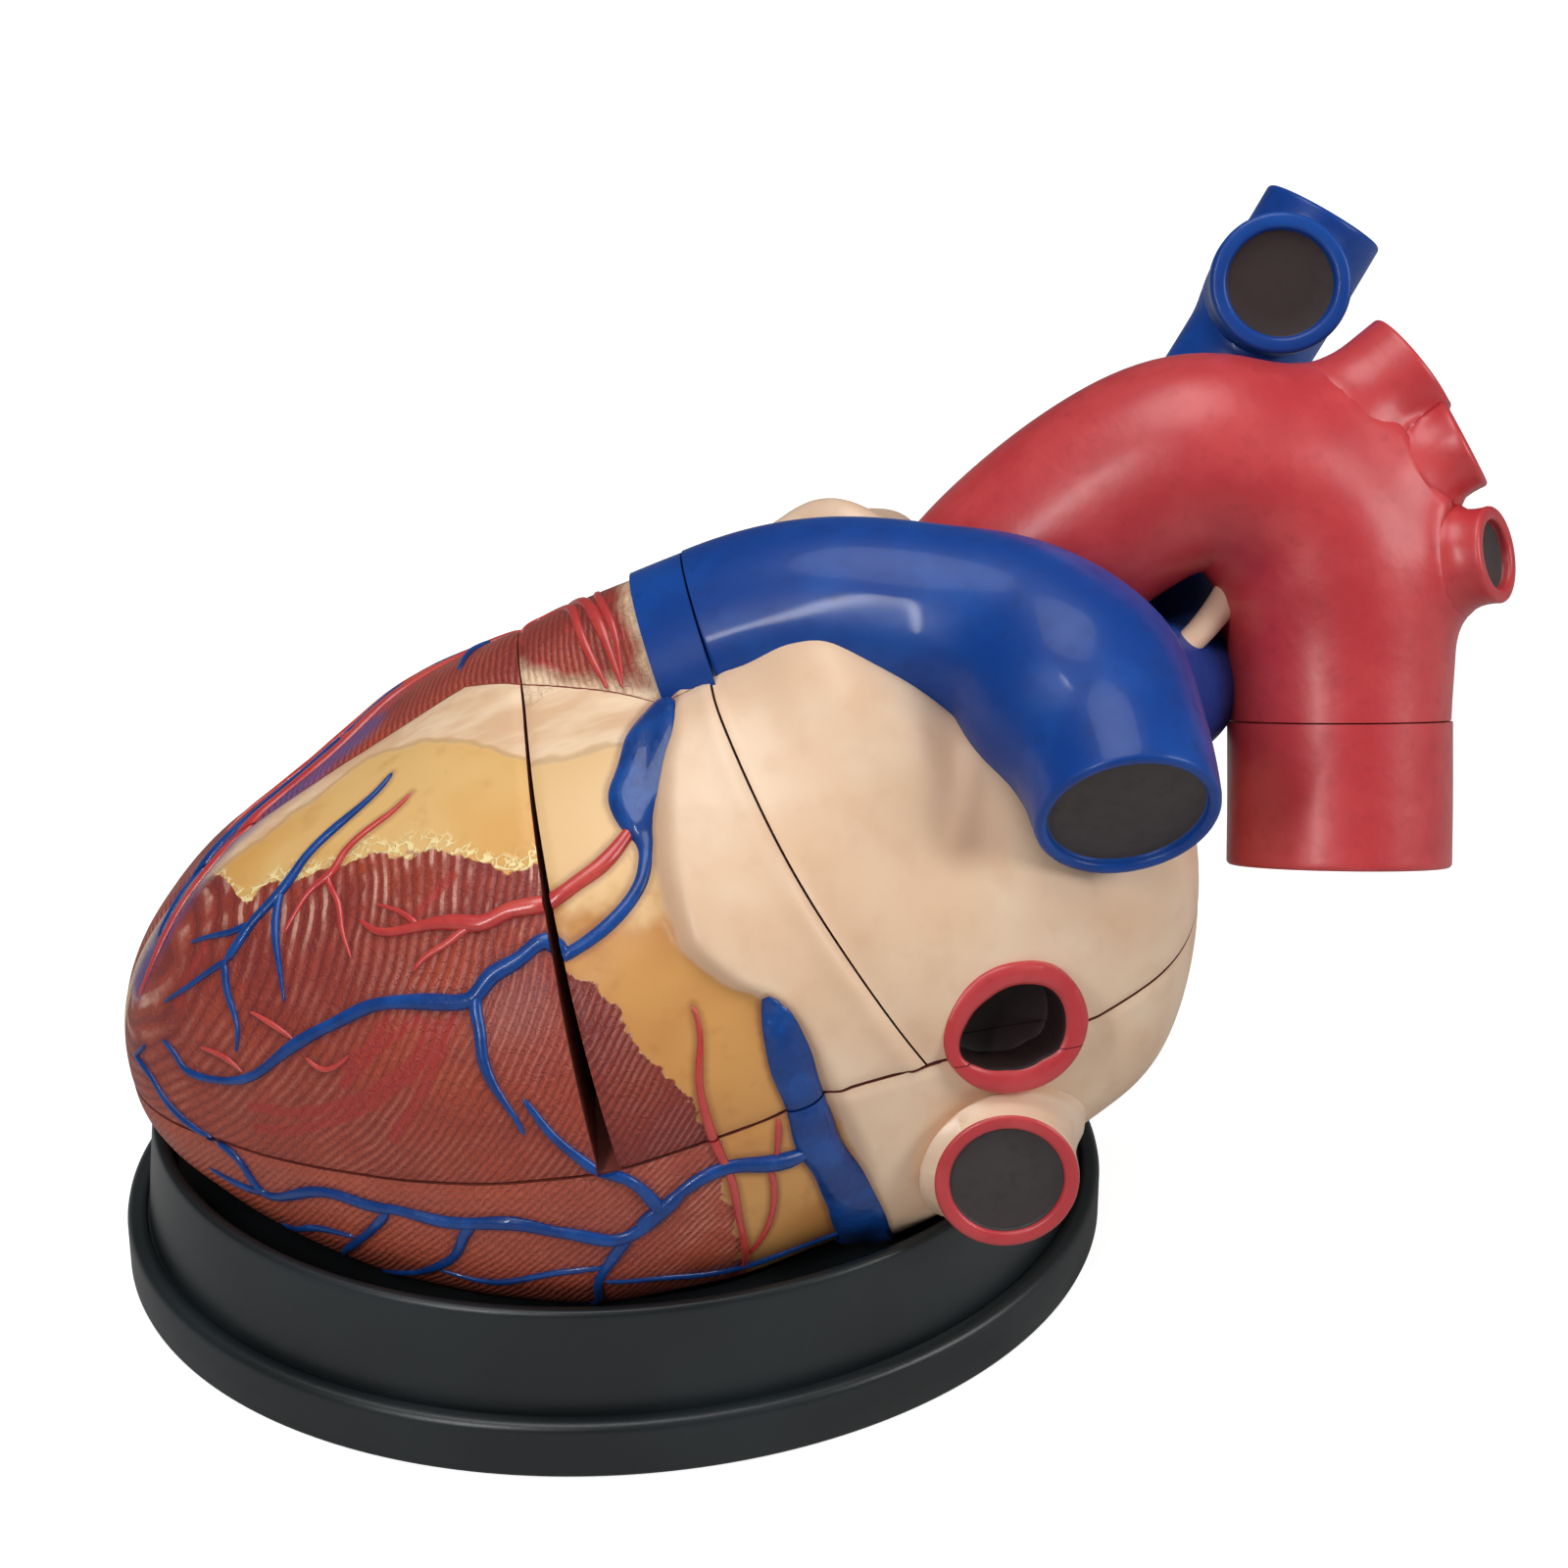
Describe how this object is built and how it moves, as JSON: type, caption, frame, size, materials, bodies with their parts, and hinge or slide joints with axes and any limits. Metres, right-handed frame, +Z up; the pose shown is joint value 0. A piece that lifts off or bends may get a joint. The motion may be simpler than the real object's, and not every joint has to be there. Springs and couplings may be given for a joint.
{
  "type": "human heart anatomy model",
  "caption": "Enlarged dissectible human heart on an oval stand, with lift-off ventricle walls, base wall and great vessel block over painted chambers and valves.",
  "frame": {"origin": "centre of the oval stand, on the surface that it stands on", "axes": "+X along the stand's length from the heart's apex to the great vessels, +Y towards the heart's right side, +Z up"},
  "size_m": [0.3567, 0.218, 0.249],
  "materials": {
    "stand_plastic": "satin moulded plastic",
    "foot_rubber": "matt",
    "steel": "plain",
    "muscle_paint": "hand painted resin under varnish",
    "atrium_paint": "hand painted resin under varnish",
    "venous_blue_paint": "hand painted resin under varnish",
    "arterial_red_paint": "hand painted resin under varnish",
    "valve_cream": "painted resin",
    "papillary_red": "painted resin"
  },
  "bodies": {
    "stand_and_back_heart": {"stand_body": "stand_plastic", "stand_bottom_plate": "stand_plastic", "stand_screws": "steel", "rubber_feet": "foot_rubber", "heart_cradle": "stand_plastic", "heart_screws": "steel", "heart_back_shell": "muscle_paint", "ventricular_septum": "muscle_paint", "conus_block": "muscle_paint", "pulmonary_root_ring": "venous_blue_paint", "mitral_valve": "valve_cream", "tricuspid_valve": "valve_cream", "pulmonary_valve": "valve_cream", "aortic_valve": "valve_cream", "left_papillary_muscles": "papillary_red", "right_papillary_muscles": "papillary_red", "chordae_tendineae": "valve_cream", "upper_left_vein_base": "atrium_paint", "lower_left_vein": "atrium_paint", "right_pulmonary_veins": "atrium_paint", "inferior_vena_cava": "venous_blue_paint", "locating_pegs": "steel", "fixed_magnets": "steel"},
    "left_wall": {"left_ventricle_wall": "muscle_paint", "left_wall_magnet": "steel"},
    "right_wall": {"right_ventricle_wall": "muscle_paint", "right_wall_magnet": "steel"},
    "base_wall": {"left_base_wall": "muscle_paint", "base_wall_magnet": "steel"},
    "great_vessels": {"atria_roof": "atrium_paint", "right_auricle": "atrium_paint", "pulmonary_trunk": "venous_blue_paint", "right_pulmonary_artery": "venous_blue_paint", "aortic_arch": "arterial_red_paint", "descending_aorta_collar": "arterial_red_paint", "brachiocephalic_artery": "arterial_red_paint", "left_carotid_artery": "arterial_red_paint", "left_subclavian_artery": "arterial_red_paint", "superior_vena_cava": "venous_blue_paint", "left_brachiocephalic_vein": "venous_blue_paint", "upper_left_vein_cap": "atrium_paint", "ligamentum_arteriosum": "valve_cream", "atria_roof_magnet": "steel"}
  },
  "joints": [
    {"name": "left_wall_lift", "type": "slide", "parent": "stand_and_back_heart", "child": "left_wall", "axis": [-0.2999, -0.1, 0.9487], "range_m": [0, 0.12]},
    {"name": "right_wall_lift", "type": "slide", "parent": "stand_and_back_heart", "child": "right_wall", "axis": [-0.27, 0.35, 0.897], "range_m": [0, 0.12]},
    {"name": "base_wall_pull", "type": "slide", "parent": "stand_and_back_heart", "child": "base_wall", "axis": [-0.166, -0.9857, 0.03], "range_m": [0, 0.14]},
    {"name": "great_vessels_lift", "type": "slide", "parent": "stand_and_back_heart", "child": "great_vessels", "axis": [0.8352, -0.1193, 0.5369], "range_m": [0, 0.16]}
  ]
}
